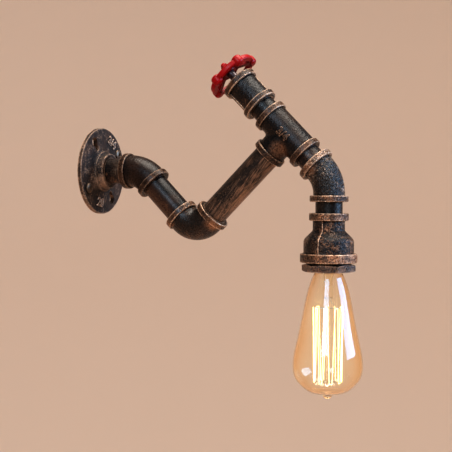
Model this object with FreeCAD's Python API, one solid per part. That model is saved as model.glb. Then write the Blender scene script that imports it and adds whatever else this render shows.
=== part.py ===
import FreeCAD
import Part
import math
import os

from FreeCAD import Placement, Rotation, Vector

# Industrial pipe wall light, in millimetres. The wall is the plane y = 0 and the origin is the
# centre of the flange's back face. The arm lies in the plane x = 0 and reaches towards -y, +z is up.
# A place on the arm is given as (out, up): its distance from the wall and its height.

# pipe and fittings
pipe_radius = 12.3
pipe_wall = 2.0
pipe_chamfer = 0.8
tee_body = 14.4
passage_radius = 11.3
thread_gap = 0.04
bead_width = 5.8
bead_round = 0.9

# the arm's route: headings in degrees above the horizontal, lengths between the fittings' centres
wall_heading = 0.0
lower_heading = -45.0
riser_heading = 45.0
run_heading = -45.0
drop_heading = -90.0
valve_heading = 135.0
wall_to_first_elbow = 48.4
first_to_second_elbow = 82.3
second_elbow_to_tee = 130.1
tee_to_front_elbow = 57.6

# each fitting: centre to face, body and bead radius, radius of the bend's centre line
wall_elbow_reach = 19.0
wall_elbow_body = 15.3
wall_elbow_bead = 17.2
wall_elbow_bend = 29.0
bottom_elbow_reach = 25.8
bottom_elbow_body = 14.9
bottom_elbow_bead = 16.9
bottom_elbow_bend = 17.5
front_elbow_reach = 21.2
front_elbow_body = 14.4
front_elbow_bead = 17.6
front_elbow_bend = 34.0
short_socket = 10.0
long_socket = 12.0
tee_run_reach = 26.8
tee_branch_reach = 27.5
tee_run_bead = 16.4
tee_branch_bead = 15.9
tee_branch_body = 13.8
tee_crotch_round = 3.0

# wall flange
flange_radius = 42.0
flange_edge_thickness = 3.9
flange_root_thickness = 5.2
flange_edge_round = 0.6
hub_radius = 17.0
hub_height = 12.8
hub_step_radius = 19.4
hub_step_height = 7.0
hub_root_radius = 22.0
flange_seat = 2.6
hole_circle_radius = 32.6
hole_radius = 4.5
hole_count = 4
first_hole_angle = 31.0
keyhole_slot_radius = 2.7
keyhole_slot_end = 25.8

# coupling below the handwheel, measured along its axis from the tee's centre
coupling_start = 36.8
coupling_end = 70.2
coupling_body = 14.4
coupling_bead = 17.2
coupling_bead_width = 5.8
coupling_socket = 11.0
coupling_rib_turn = 125.0
rib_width = 3.0
rib_height = 0.9

# stem, plug and handwheel, measured along the same axis
plug_inner_end = 60.2
plug_boss_radius = 8.0
plug_boss_end = 72.2
stem_radius = 4.0
stem_gap = 0.05
stem_start = 56.7
collar_radius = 6.0
collar_length = 1.6
washer_thickness = 0.7
circlip_radius = 6.4
circlip_groove = 3.2
circlip_thickness = 1.0
circlip_play = 0.3
square_side = 6.0
stud_radius = 1.9
stud_end = 91.0
wheel_plane = 79.0
wheel_turn = 12.0
wheel_lobes = 5
lobe_centre_radius = 21.7
lobe_radius = 5.1
lobe_half_thickness = 4.6
lobe_edge_round = 3.0
rim_outer_radius = 24.6
rim_inner_radius = 20.0
rim_half_thickness = 2.5
rim_edge_round = 1.4
spoke_half_width = 2.4
window_inner_radius = 9.4
window_corner_round = 1.4
web_thickness = 4.0
wheel_hub_radius = 7.0
wheel_hub_top_radius = 5.4
wheel_hub_foot = 2.6
wheel_hub_low = 3.6
wheel_hub_high = 10.0
nut_flats = 6.4
nut_base = 2.4
nut_dome_radius = 2.9

# bell reducer, measured down from the front elbow's lower face
reducer_top = 10.2
reducer_bottom = 55.0
reducer_top_bead = 18.0
reducer_top_bead_width = 6.9
reducer_neck_radius = 14.6
reducer_neck_end = 25.2
shoulder_root_round = 2.0
shoulder_crown_round = 6.0
bell_radius = 22.9
bell_end = 46.8
bell_bead_radius = 26.0
reducer_socket = 11.0
reducer_rib_turn = 7.0
bell_cavity_radius = 19.7
bell_cavity_start = 26.6
bell_thread_start = 43.0
bell_thread_radius = 20.45

# hexagon bushing
bushing_start = 43.5
hexagon_top = 56.6
hexagon_bottom = 63.4
hexagon_flats = 42.8
hexagon_turn = 20.5
hexagon_chamfer = 0.9
bushing_seat = 48.5
bushing_upper_bore = 16.45
bushing_lower_bore = 17.4
ring_groove_radius = 18.2
ring_thickness = 1.0
ring_inner_radius = 15.9
ring_mouth = 50.0

# lampholder for an E27 cap
holder_top = 32.5
holder_floor = 36.2
holder_bottom = 61.4
holder_upper_radius = 16.4
holder_lower_radius = 17.3
holder_crown_radius = 13.0
holder_bore = 14.05
holder_mouth_bore = 14.9
holder_mouth_depth = 2.2
shell_inner_radius = 13.45
shell_outer_radius = 14.0
shell_bottom = 59.3
strip_thickness = 0.5
strip_width = 4.0
terminal_spacing = 6.2
terminal_width = 5.2
terminal_depth = 5.0
terminal_height = 4.7
contact_tip_radius = 2.6
rivet_radius = 1.0
terminal_screw_radius = 1.3
terminal_screw_head = 2.0
wire_radius = 1.1
wire_hole_radius = 1.15
wire_grip = 3.0
gentle_wire_bend = 28.0
sharp_wire_bend = 16.0

# bulb, with the same origin for its depths
cap_rim = 64.6
cap_thread_top = 41.6
cap_radius = 13.1
cap_skirt_radius = 13.3
cap_skirt_length = 5.0
cap_wall = 0.5
insulator_top = 38.8
contact_radius = 4.8
contact_top = 37.6
glass_wall = 1.0
glass_neck_radius = 12.5
glass_neck_start = 55.6
glass_side = [(13.6, 66.0), (18.3, 79.0), (24.1, 106.5), (30.0, 133.5), (32.0, 149.8)]
glass_base = [(32.0, 149.8), (29.4, 161.2), (20.6, 170.6), (6.0, 174.8)]
glass_tip_radius = 4.4
glass_tip = 179.2
glass_tip_waist = 176.0
bulb_stem_base = 57.0
bulb_stem_foot = 1.2
bulb_stem_radius = 4.2
bulb_stem_bore = 3.0
bulb_stem_flare = [(6.6, 62.2), (4.2, 71.0)]
bulb_stem_end = 88.0
rod_radius = 1.4
rod_end = 168.0
rod_button_radius = 2.4
cage_top = 96.0
cage_bottom = 164.0
cage_top_radius = 13.6
cage_bottom_radius = 12.9
cage_strands = 16
cage_loop_half_angle = 6.0
strand_radius = 0.25
hook_radius = 0.2
lead_radius = 0.3
lead_start_radius = 2.6

nodes = {}


# places and directions

def heading_vector(heading):
    angle = math.radians(heading)
    return Vector(0, -math.cos(angle), math.sin(angle))


def place(out, up, side=0.0):
    return Vector(side, -out, up)


def along(start, heading, distance):
    return start + heading_vector(heading) * distance


first_elbow = place(wall_to_first_elbow, 0)
second_elbow = along(first_elbow, lower_heading, first_to_second_elbow)
tee_centre = along(second_elbow, riser_heading, second_elbow_to_tee)
last_elbow = along(tee_centre, run_heading, tee_to_front_elbow)
drop_face = along(last_elbow, drop_heading, front_elbow_reach)


def set_on(shape, start, heading):
    # a shape made along +z is laid with its z axis on the heading and its x axis kept
    laid = shape.copy()
    turn = Placement(start, Rotation(Vector(1, 0, 0), 90 - heading))
    laid.Placement = turn.multiply(laid.Placement)
    return laid


def on_drop(shape):
    return set_on(shape, drop_face, drop_heading)


def on_valve(shape):
    return set_on(shape, tee_centre, valve_heading)


# shapes made along +z

def outline_edges(start, steps):
    # a step is a corner (radius, height), or a pair of points: an arc through one to the other
    edges = []
    here = Vector(start[0], 0, start[1])
    for step in steps:
        if isinstance(step[0], tuple):
            middle = Vector(step[0][0], 0, step[0][1])
            there = Vector(step[1][0], 0, step[1][1])
            edges.append(Part.Arc(here, middle, there).toShape())
        else:
            there = Vector(step[0], 0, step[1])
            edges.append(Part.makeLine(here, there))
        here = there
    return edges


def turned(start, *steps):
    # the outline is closed back to its start and turned about the z axis
    edges = outline_edges(start, list(steps) + [start])
    face = Part.Face(Part.Wire(edges))
    return face.revolve(Vector(0, 0, 0), Vector(0, 0, 1), 360)


def rod(radius, low, high, x=0.0, y=0.0):
    return Part.makeCylinder(radius, high - low, Vector(x, y, low))


def tube(outer, inner, low, high):
    return rod(outer, low, high).cut(rod(inner, low, high))


def corner_mid(radius):
    # how far the middle of a quarter round stands in from its corner, along each side
    return radius * (1 - math.sqrt(0.5))


def dome_mid(radius, rim, crown):
    # the middle of a dome's outline: an arc about the axis from (radius, rim) to (0, crown)
    rise = crown - rim
    centre = crown - (radius ** 2 + rise ** 2) / (2 * rise)
    half_angle = math.atan2(radius, abs(rim - centre)) / 2
    ball = crown - centre
    return (abs(ball) * math.sin(half_angle), centre + ball * math.cos(half_angle))


def bead_band(radius, low, high):
    r = bead_round
    m = corner_mid(r)
    return turned((0, low), (radius - r, low), ((radius - m, low + m), (radius, low + r)),
                  (radius, high - r), ((radius - m, high - m), (radius - r, high)), (0, high))


def hexagon(flats, low, high, turn=0.0):
    corner = flats / math.sqrt(3)
    points = []
    for i in range(7):
        angle = math.radians(turn + 60 * i)
        points.append(Vector(corner * math.cos(angle), corner * math.sin(angle), low))
    return Part.Face(Part.makePolygon(points)).extrude(Vector(0, 0, high - low))


def fuse_all(shapes):
    return shapes[0].multiFuse(shapes[1:]).removeSplitter()


def keep(name, shape):
    nodes[name] = shape


# pipes and fittings

def pipe(start, heading, length):
    outer = turned((0, 0), (pipe_radius - pipe_chamfer, 0), (pipe_radius, pipe_chamfer),
                   (pipe_radius, length - pipe_chamfer), (pipe_radius - pipe_chamfer, length),
                   (0, length))
    hollow = outer.cut(rod(pipe_radius - pipe_wall, -1, length + 1))
    return set_on(hollow, start, heading)


def bend_solid(centre, heading_in, heading_out, bend_radius, tube_radius):
    turn = heading_in - heading_out
    tangent = bend_radius * math.tan(math.radians(abs(turn) / 2))
    start = along(centre, heading_in, -tangent)
    inward = heading_in - 90 if turn > 0 else heading_in + 90
    pivot = along(start, inward, bend_radius)
    disc = Part.Face(Part.Wire(Part.makeCircle(tube_radius, start, heading_vector(heading_in))))
    return disc.revolve(pivot, Vector(1, 0, 0), turn)


def leg(start, heading, low, high, radius):
    return set_on(rod(radius, low, high), start, heading)


def bead_leg(centre, heading, reach, bead_radius):
    return set_on(bead_band(bead_radius, reach - bead_width, reach), centre, heading)


def socket_cut(centre, heading, reach, depth):
    socket = rod(pipe_radius + thread_gap, reach - depth, reach + 1)
    return set_on(socket, centre, heading)


def elbow(centre, heading_in, heading_out, reach, body, bead, bend_radius, socket_depth):
    mouths = [heading_in + 180, heading_out]
    half_turn = math.radians(abs(heading_in - heading_out) / 2)
    bend_start = bend_radius * math.tan(half_turn)
    outside = [bend_solid(centre, heading_in, heading_out, bend_radius, body)]
    seat = reach - socket_depth
    inside = [bend_solid(centre, heading_in, heading_out, seat / math.tan(half_turn),
                         passage_radius)]
    for mouth in mouths:
        outside.append(leg(centre, mouth, bend_start, reach - bead_width / 2, body))
        outside.append(bead_leg(centre, mouth, reach, bead))
        inside.append(socket_cut(centre, mouth, reach, socket_depth))
    shape = fuse_all(outside)
    for hollow in inside:
        shape = shape.cut(hollow)
    return shape


def tee():
    branch_heading = riser_heading + 180
    run = set_on(rod(tee_body, -tee_run_reach + 1, tee_run_reach - 1), tee_centre, run_heading)
    branch = leg(tee_centre, branch_heading, 0, tee_branch_reach - 1, tee_branch_body)
    shape = run.fuse(branch)
    shape = shape.makeFillet(tee_crotch_round, crotch_edges(shape))
    beads = [bead_leg(tee_centre, run_heading, tee_run_reach, tee_run_bead),
             bead_leg(tee_centre, valve_heading, tee_run_reach, tee_run_bead),
             bead_leg(tee_centre, branch_heading, tee_branch_reach, tee_branch_bead)]
    shape = fuse_all([shape] + beads)
    shape = shape.cut(set_on(tee_run_hollow(), tee_centre, run_heading))
    return shape.cut(set_on(tee_branch_hollow(), tee_centre, branch_heading))


def tee_run_hollow():
    thread = pipe_radius + thread_gap
    bottom = tee_run_reach - long_socket
    mouth = tee_run_reach + 1
    return turned((0, -mouth), (thread, -mouth), (thread, -bottom), (passage_radius, -bottom),
                  (passage_radius, bottom), (thread, bottom), (thread, mouth), (0, mouth))


def tee_branch_hollow():
    thread = pipe_radius + thread_gap
    bottom = tee_branch_reach - long_socket
    mouth = tee_branch_reach + 1
    return turned((0, 0), (passage_radius, 0), (passage_radius, bottom), (thread, bottom),
                  (thread, mouth), (0, mouth))


def crotch_edges(shape):
    # the edges where the branch meets the run: neither straight nor plane circles
    found = []
    for edge in shape.Edges:
        if edge.Curve.TypeId not in ("Part::GeomLine", "Part::GeomCircle"):
            found.append(edge)
    return found


def flange_hole(angle, is_keyhole):
    high = flange_root_thickness + 1
    hole = rod(hole_radius, -1, high, hole_circle_radius)
    if is_keyhole:
        slot_length = hole_circle_radius - keyhole_slot_end
        slot = Part.makeBox(slot_length, 2 * keyhole_slot_radius, high + 1,
                            Vector(keyhole_slot_end, -keyhole_slot_radius, -1))
        end = rod(keyhole_slot_radius, -1, high, keyhole_slot_end)
        hole = hole.fuse([slot, end])
    hole.rotate(Vector(0, 0, 0), Vector(0, 0, 1), angle)
    return hole


def wall_flange():
    r = flange_edge_round
    m = corner_mid(r)
    edge = flange_edge_thickness
    root = flange_root_thickness
    body = turned((0, 0), (flange_radius, 0), (flange_radius, edge - r),
                  ((flange_radius - m, edge - m), (flange_radius - r, edge)),
                  (hub_root_radius, root),
                  ((hub_step_radius + 0.6, root + 0.5), (hub_step_radius, root + 1.4)),
                  (hub_step_radius, hub_step_height), (hub_radius + 0.6, hub_step_height + 0.8),
                  (hub_radius, hub_height - 0.8), (hub_radius - 0.8, hub_height), (0, hub_height))
    body = body.cut(rod(passage_radius, -1, hub_height + 1))
    body = body.cut(rod(pipe_radius + thread_gap, flange_seat, hub_height + 1))
    for i in range(hole_count):
        # local x is the row's x, and local y is up
        angle = first_hole_angle + 360 / hole_count * i
        body = body.cut(flange_hole(angle, i % 2 == 1))
    return set_on(body, place(0, 0), wall_heading)


def make_arm():
    keep("wall_flange", wall_flange())
    first_seat = wall_elbow_reach - short_socket
    keep("flange_nipple", pipe(place(flange_seat, 0), wall_heading,
                               wall_to_first_elbow - first_seat - flange_seat))
    keep("wall_elbow", elbow(first_elbow, wall_heading, lower_heading, wall_elbow_reach,
                             wall_elbow_body, wall_elbow_bead, wall_elbow_bend, short_socket))
    second_seat = bottom_elbow_reach - long_socket
    keep("lower_nipple", pipe(along(first_elbow, lower_heading, first_seat), lower_heading,
                              first_to_second_elbow - first_seat - second_seat))
    keep("bottom_elbow", elbow(second_elbow, lower_heading, riser_heading, bottom_elbow_reach,
                               bottom_elbow_body, bottom_elbow_bead, bottom_elbow_bend,
                               long_socket))
    branch_seat = tee_branch_reach - long_socket
    keep("riser_pipe", pipe(along(second_elbow, riser_heading, second_seat), riser_heading,
                            second_elbow_to_tee - second_seat - branch_seat))
    keep("tee", tee())
    run_seat = tee_run_reach - long_socket
    front_seat = front_elbow_reach - short_socket
    keep("elbow_nipple", pipe(along(tee_centre, run_heading, run_seat), run_heading,
                              tee_to_front_elbow - run_seat - front_seat))
    keep("front_elbow", elbow(last_elbow, run_heading, drop_heading, front_elbow_reach,
                              front_elbow_body, front_elbow_bead, front_elbow_bend,
                              short_socket))
    keep("handwheel_nipple", pipe(along(tee_centre, valve_heading, run_seat), valve_heading,
                                  coupling_start + coupling_socket - run_seat))
    keep("lamp_nipple", pipe(along(last_elbow, drop_heading, front_seat), drop_heading,
                             short_socket + reducer_top + reducer_socket))


# coupling, stem and handwheel

def rib_pair(profile, turn):
    # two ribs on opposite sides, cut from a turned shape that stands proud of the wall
    slab = Part.makeBox(120, rib_width, 200, Vector(-60, -rib_width / 2, 0))
    slab.rotate(Vector(0, 0, 0), Vector(0, 0, 1), turn)
    return profile.common(slab)


def valve_coupling():
    low = coupling_start
    high = coupling_end
    proud = rod(coupling_body + rib_height, low + 1, high - 1)
    shape = fuse_all([rod(coupling_body, low + 1, high - 1),
                      bead_band(coupling_bead, low, low + coupling_bead_width),
                      bead_band(coupling_bead, high - coupling_bead_width, high),
                      rib_pair(proud, coupling_rib_turn)])
    shape = shape.cut(rod(passage_radius, low - 1, high + 1))
    thread = pipe_radius + thread_gap
    shape = shape.cut(rod(thread, low - 1, low + coupling_socket))
    return shape.cut(rod(thread, plug_inner_end, high + 1))


def stem_plug():
    face = coupling_end
    shape = turned((0, plug_inner_end), (pipe_radius, plug_inner_end), (pipe_radius, face - 0.6),
                   (pipe_radius - 0.6, face), (plug_boss_radius, face),
                   (plug_boss_radius - 0.6, plug_boss_end), (0, plug_boss_end))
    return shape.cut(rod(stem_radius + stem_gap, plug_inner_end - 1, plug_boss_end + 1))


def valve_stem():
    washer_top = plug_boss_end + washer_thickness
    collar_top = washer_top + collar_length
    square_top = wheel_plane + wheel_hub_high - 0.5
    groove_high = plug_inner_end - circlip_play
    groove_low = groove_high - circlip_thickness
    shaft = turned((0, stem_start), (stem_radius - 0.6, stem_start),
                   (stem_radius, stem_start + 0.6), (stem_radius, groove_low),
                   (circlip_groove, groove_low), (circlip_groove, groove_high),
                   (stem_radius, groove_high), (stem_radius, washer_top),
                   (collar_radius, washer_top), (collar_radius, collar_top),
                   (stem_radius, collar_top), (stem_radius, wheel_plane + wheel_hub_foot),
                   (0, wheel_plane + wheel_hub_foot))
    half = square_side / 2
    square = Part.makeBox(square_side, square_side, square_top - collar_top,
                          Vector(-half, -half, collar_top))
    square = square.common(rod(stem_radius, collar_top, square_top))
    stud = turned((0, square_top - 1), (stud_radius, square_top - 1),
                  (stud_radius, stud_end - 0.6), (stud_radius - 0.6, stud_end), (0, stud_end))
    stem = fuse_all([shaft, square, stud])
    stem.rotate(Vector(0, 0, 0), Vector(0, 0, 1), wheel_turn)
    return stem


def stem_circlip():
    high = plug_inner_end - circlip_play
    low = high - circlip_thickness
    ring = tube(circlip_radius, circlip_groove + 0.02, low, high)
    gap = Part.makeBox(circlip_radius + 1, 3.0, circlip_thickness, Vector(0, -1.5, low))
    return ring.cut(gap)


def stem_washer():
    return tube(circlip_radius, stem_radius + stem_gap, plug_boss_end,
                plug_boss_end + washer_thickness)


def rim_ring():
    outer = rim_outer_radius
    inner = rim_inner_radius
    h = rim_half_thickness
    r = rim_edge_round
    m = corner_mid(r)
    return turned((inner, -h), (outer - r, -h), ((outer - m, m - h), (outer, r - h)),
                  (outer, h - r), ((outer - m, h - m), (outer - r, h)), (inner, h))


def rim_lobe(angle):
    # a round knob on the rim, with well rounded edges
    h = lobe_half_thickness
    r = lobe_edge_round
    m = corner_mid(r)
    side = lobe_radius
    knob = turned((0, -h), (side - r, -h), ((side - m, m - h), (side, r - h)),
                  (side, h - r), ((side - m, h - m), (side - r, h)), (0, h))
    knob.translate(polar(lobe_centre_radius, angle))
    return knob.cut(rod(rim_inner_radius, -h - 1, h + 1))


def polar(radius, angle, height=0.0):
    a = math.radians(angle)
    return Vector(radius * math.cos(a), radius * math.sin(a), height)


def wheel_window(angle):
    # the opening between two spokes, with straight sides that follow the spokes
    pitch = 360 / wheel_lobes
    outer_half = pitch / 2 - math.degrees(math.asin(spoke_half_width / rim_inner_radius))
    inner_half = pitch / 2 - math.degrees(math.asin(spoke_half_width / window_inner_radius))
    edges = [Part.Arc(polar(rim_inner_radius, angle - outer_half), polar(rim_inner_radius, angle),
                      polar(rim_inner_radius, angle + outer_half)).toShape(),
             Part.makeLine(polar(rim_inner_radius, angle + outer_half),
                           polar(window_inner_radius, angle + inner_half)),
             Part.Arc(polar(window_inner_radius, angle + inner_half),
                      polar(window_inner_radius, angle),
                      polar(window_inner_radius, angle - inner_half)).toShape(),
             Part.makeLine(polar(window_inner_radius, angle - inner_half),
                           polar(rim_inner_radius, angle - outer_half))]
    face = Part.Face(Part.Wire(edges))
    face.translate(Vector(0, 0, -20))
    window = face.extrude(Vector(0, 0, 60))
    upright = [edge for edge in window.Edges if abs(edge.tangentAt(edge.FirstParameter).z) > 0.9]
    return window.makeFillet(window_corner_round, upright)


def handwheel():
    pitch = 360 / wheel_lobes
    low = wheel_hub_low
    thick = web_thickness
    web = turned((0, low), (wheel_hub_radius, low), (rim_inner_radius + 1, -thick / 2),
                 (rim_inner_radius + 1, thick / 2), (wheel_hub_radius + 1, low + thick),
                 (0, low + thick))
    for i in range(wheel_lobes):
        web = web.cut(wheel_window(pitch * (i + 0.5)))
    top = wheel_hub_high
    hub_top = wheel_hub_top_radius
    hub = turned((0, wheel_hub_foot), (wheel_hub_radius - 0.8, wheel_hub_foot),
                 (wheel_hub_radius, low),
                 (hub_top + 0.4, top - 1), ((hub_top + 0.1, top - 0.3), (hub_top - 0.6, top)),
                 (0, top))
    lobes = [rim_lobe(pitch * i) for i in range(wheel_lobes)]
    wheel = fuse_all([rim_ring(), web, hub] + lobes)
    half = square_side / 2 + stem_gap
    hole = Part.makeBox(2 * half, 2 * half, 40, Vector(-half, -half, -20))
    wheel = wheel.cut(hole.common(rod(stem_radius + stem_gap, -20, 20)))
    wheel.translate(Vector(0, 0, wheel_plane))
    wheel.rotate(Vector(0, 0, 0), Vector(0, 0, 1), wheel_turn)
    return wheel


def wheel_nut():
    low = wheel_plane + wheel_hub_high
    dome_centre = low + nut_base
    r = nut_dome_radius
    crown = dome_centre + r
    dome = turned((0, low), (r, low), (r, dome_centre),
                  (dome_mid(r, dome_centre, crown), (0, crown)))
    nut = hexagon(nut_flats, low, dome_centre).fuse(dome)
    return nut.cut(rod(stud_radius + 0.02, low - 1, stud_end))


def make_valve():
    keep("valve_coupling", on_valve(valve_coupling()))
    keep("stem_plug", on_valve(stem_plug()))
    keep("stem_washer", on_valve(stem_washer()))
    keep("valve_stem", on_valve(valve_stem()))
    keep("stem_circlip", on_valve(stem_circlip()))
    keep("handwheel", on_valve(handwheel()))
    keep("wheel_nut", on_valve(wheel_nut()))


# reducer, bushing and lampholder

def bell_profile(proud):
    # the bell's outside from its neck to its lower bead, moved out by proud
    neck = reducer_neck_radius + proud
    bell = bell_radius + proud
    start = reducer_neck_end
    eighth = 1 - math.sqrt(0.5)
    lift = math.sqrt(0.5)
    root_end = (neck + shoulder_root_round * eighth, start + shoulder_root_round * lift)
    root_mid = (neck + shoulder_root_round * (1 - math.cos(math.pi / 8)),
                start + shoulder_root_round * math.sin(math.pi / 8))
    slope = bell - shoulder_crown_round * eighth - root_end[0]
    crown_start = (root_end[0] + slope, root_end[1] + slope)
    crown_end = (bell, crown_start[1] + shoulder_crown_round * lift)
    crown_mid = (bell - shoulder_crown_round * (1 - math.cos(math.pi / 8)),
                 crown_end[1] - shoulder_crown_round * math.sin(math.pi / 8))
    return turned((0, reducer_top + 1), (neck, reducer_top + 1), (neck, start),
                  (root_mid, root_end), crown_start, (crown_mid, crown_end),
                  (bell, bell_end + 1), (0, bell_end + 1))


def bell_reducer():
    shape = fuse_all([bell_profile(0),
                      rib_pair(bell_profile(rib_height), reducer_rib_turn),
                      bead_band(reducer_top_bead, reducer_top,
                                reducer_top + reducer_top_bead_width),
                      bead_band(bell_bead_radius, bell_end, reducer_bottom)])
    cavity = turned((0, reducer_top - 1), (passage_radius, reducer_top - 1),
                    (passage_radius, bell_cavity_start),
                    (bell_cavity_radius,
                     bell_cavity_start + bell_cavity_radius - passage_radius),
                    (bell_cavity_radius, bell_thread_start),
                    (bell_thread_radius, bell_thread_start),
                    (bell_thread_radius, reducer_bottom + 1), (0, reducer_bottom + 1))
    shape = shape.cut(cavity)
    return shape.cut(rod(pipe_radius + thread_gap, reducer_top - 1,
                         reducer_top + reducer_socket))


def hex_bushing():
    corner = hexagon_flats / math.sqrt(3)
    flat = hexagon_flats / 2
    rounding = turned((0, hexagon_top), (flat, hexagon_top),
                      (corner, hexagon_top + hexagon_chamfer),
                      (corner, hexagon_bottom - hexagon_chamfer),
                      (flat, hexagon_bottom), (0, hexagon_bottom))
    head = hexagon(hexagon_flats, hexagon_top, hexagon_bottom, hexagon_turn).common(rounding)
    barrel = rod(bell_thread_radius - thread_gap, bushing_start, hexagon_top + 1)
    shape = head.fuse(barrel).removeSplitter()
    shape = shape.cut(rod(bushing_upper_bore, bushing_start - 1, bushing_seat + 1))
    shape = shape.cut(rod(bushing_lower_bore, bushing_seat, hexagon_bottom + 1))
    return shape.cut(rod(ring_groove_radius, holder_bottom, holder_bottom + ring_thickness))


def holder_ring():
    low = holder_bottom
    ring = tube(ring_groove_radius - 0.1, ring_inner_radius, low, low + ring_thickness)
    mouth = Part.makeBox(30, 5, ring_thickness, Vector(0, -2.5, low))
    mouth.rotate(Vector(0, 0, 0), Vector(0, 0, 1), ring_mouth)
    return ring.cut(mouth)


def lampholder_body():
    outside = turned((0, holder_top), (holder_crown_radius, holder_top),
                     (holder_upper_radius, holder_top + 2.4), (holder_upper_radius, bushing_seat),
                     (holder_lower_radius, bushing_seat), (holder_lower_radius, holder_bottom),
                     (0, holder_bottom))
    shape = outside.cut(rod(holder_bore, holder_floor, holder_bottom + 1))
    shape = shape.cut(rod(holder_mouth_bore, holder_bottom - holder_mouth_depth,
                          holder_bottom + 1))
    for side in (-1, 1):
        rivet_hole = rod(rivet_radius + 0.05, holder_top - 1, holder_floor + 1,
                         side * terminal_spacing)
        shape = shape.cut(rivet_hole)
    return shape


def rivet(side):
    return rod(rivet_radius, holder_top - 1, holder_floor + strip_thickness / 2,
               side * terminal_spacing)


def thread_shell():
    sleeve = tube(shell_outer_radius, shell_inner_radius, holder_floor, shell_bottom)
    tongue = Part.makeBox(shell_inner_radius + 0.2 - (terminal_spacing - 1.3), strip_width,
                          strip_thickness,
                          Vector(-shell_inner_radius - 0.2, -strip_width / 2, holder_floor))
    return fuse_all([sleeve, tongue, rivet(-1)])


def centre_contact():
    strip = Part.makeBox(terminal_spacing + 1.3, strip_width, strip_thickness,
                         Vector(0, -strip_width / 2, holder_floor))
    base = holder_floor + strip_thickness
    crown = contact_top - 0.4
    tip = turned((0, holder_floor), (contact_tip_radius, holder_floor),
                 (contact_tip_radius, base), (dome_mid(contact_tip_radius, base, crown), (0, crown)))
    return fuse_all([strip, tip, rivet(1)])


def terminal_block(side):
    low = holder_top - terminal_height
    centre = side * terminal_spacing
    block = Part.makeBox(terminal_width, terminal_depth, terminal_height,
                         Vector(centre - terminal_width / 2, -terminal_depth / 2, low))
    upright = [edge for edge in block.Edges if abs(edge.tangentAt(edge.FirstParameter).z) > 0.9]
    block = block.makeFillet(0.6, upright)
    block = block.cut(rod(wire_hole_radius, low - 1, low + wire_grip, centre))
    block = block.cut(rod(rivet_radius + 0.02, holder_top - 1, holder_top + 1, centre))
    screw_height = low + wire_grip / 2
    hole = Part.makeCylinder(terminal_screw_radius + 0.02, terminal_depth / 2 + 1,
                             Vector(centre, 0, screw_height), Vector(0, 1, 0))
    return block.cut(hole)


def terminal_screw(side):
    centre = side * terminal_spacing
    height = holder_top - terminal_height + wire_grip / 2
    shank_start = wire_radius + 0.02
    shank = Part.makeCylinder(terminal_screw_radius, terminal_depth / 2 - shank_start,
                              Vector(centre, shank_start, height), Vector(0, 1, 0))
    head = Part.makeCylinder(terminal_screw_head, 1.2, Vector(centre, terminal_depth / 2, height),
                             Vector(0, 1, 0))
    slot = Part.makeBox(2 * terminal_screw_head + 1, 1.0, 0.5,
                        Vector(centre - terminal_screw_head - 0.5, terminal_depth / 2 + 0.6,
                               height - 0.25))
    return shank.fuse(head).removeSplitter().cut(slot)


def make_lampholder():
    keep("bell_reducer", on_drop(bell_reducer()))
    keep("hex_bushing", on_drop(hex_bushing()))
    keep("holder_ring", on_drop(holder_ring()))
    keep("lampholder_body", on_drop(lampholder_body()))
    keep("thread_shell", on_drop(thread_shell()))
    keep("centre_contact", on_drop(centre_contact()))
    blocks = [terminal_block(side) for side in (-1, 1)]
    keep("terminal_blocks", on_drop(Part.makeCompound(blocks)))
    screws = [terminal_screw(side) for side in (-1, 1)]
    keep("terminal_screws", on_drop(Part.makeCompound(screws)))


# wires, through all the pipes

def rounded_path(points, bends):
    # straight runs joined by tangent arcs, one bend radius for each inner point
    edges = []
    here = points[0]
    for i in range(1, len(points) - 1):
        corner = points[i]
        back = (points[i - 1] - corner).normalize()
        onward = (points[i + 1] - corner).normalize()
        half = back.getAngle(onward) / 2
        radius = bends[i - 1]
        tangent = radius / math.tan(half)
        inward = (back + onward).normalize()
        arc_start = corner + back * tangent
        arc_end = corner + onward * tangent
        arc_middle = corner + inward * (radius / math.sin(half) - radius)
        edges.append(Part.makeLine(here, arc_start))
        edges.append(Part.Arc(arc_start, arc_middle, arc_end).toShape())
        here = arc_end
    edges.append(Part.makeLine(here, points[-1]))
    return Part.Wire(edges)


def wire(side):
    shift = Vector(side * terminal_spacing, 0, 0)
    end = along(drop_face, drop_heading, holder_top - terminal_height + wire_grip)
    points = [place(0, 0), first_elbow, second_elbow, tee_centre, last_elbow, end]
    points = [point + shift for point in points]
    bends = [gentle_wire_bend, sharp_wire_bend, sharp_wire_bend, gentle_wire_bend]
    ring = Part.Wire(Part.makeCircle(wire_radius, points[0], heading_vector(wall_heading)))
    return rounded_path(points, bends).makePipeShell([ring], True, False)


def make_wires():
    keep("neutral_wire", wire(-1))
    keep("live_wire", wire(1))


# bulb

def smooth_curve(points, start_tangent, end_tangent):
    curve = Part.BSplineCurve()
    curve.interpolate(Points=points, InitialTangent=start_tangent, FinalTangent=end_tangent)
    return curve


def moved_in(points, inset, start_tangent, end_tangent):
    # a smooth edge through the (radius, height) points, moved in square to itself
    places = [Vector(radius, 0, height) for radius, height in points]
    curve = smooth_curve(places, start_tangent, end_tangent)
    if inset:
        inner = []
        for spot in places:
            direction = curve.tangent(curve.parameter(spot))[0]
            inner.append(spot + Vector(-direction.z, 0, direction.x) * inset)
        curve = smooth_curve(inner, start_tangent, end_tangent)
    return curve.toShape()


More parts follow.
